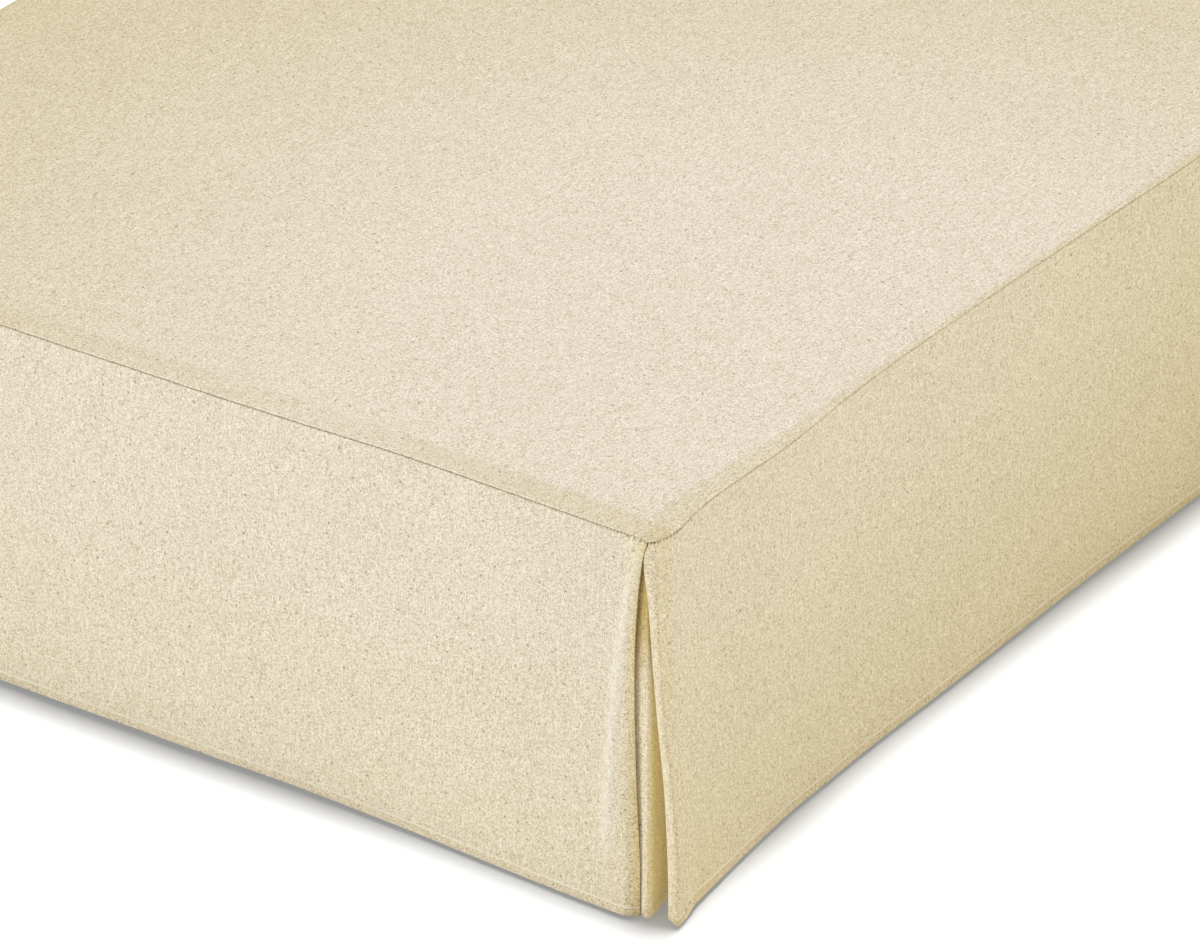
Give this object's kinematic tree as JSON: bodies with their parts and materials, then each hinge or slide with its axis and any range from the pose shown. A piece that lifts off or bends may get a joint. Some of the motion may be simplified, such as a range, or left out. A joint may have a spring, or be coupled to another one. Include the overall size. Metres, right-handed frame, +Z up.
{
  "type": "bed skirt on a bed base",
  "caption": "Plain cream canvas bed skirt: a flat deck panel over a plain bed base, straight drops to the floor and an open inverted pleat at each foot corner.",
  "frame": {"origin": "on the floor, at the middle of the bounding box", "axes": "+X across the bed, to the right of someone at its foot looking towards the head; +Y from the foot to the head; +Z up"},
  "size_m": [1.1026, 1.9102, 0.354],
  "materials": {
    "skirt_canvas": "matt cream cotton canvas with fine darker flecks",
    "base_cover": "plain matt woven cover",
    "base_foot": "dark stained, satin"
  },
  "bodies": {
    "root": {"deck_panel": "skirt_canvas", "drop_foot": "skirt_canvas", "drop_right": "skirt_canvas", "drop_left": "skirt_canvas", "pleat_right": "skirt_canvas", "pleat_left": "skirt_canvas", "bed_base": "base_cover", "foot_front_left": "base_foot", "foot_front_right": "base_foot", "foot_back_left": "base_foot", "foot_back_right": "base_foot"}
  },
  "joints": []
}
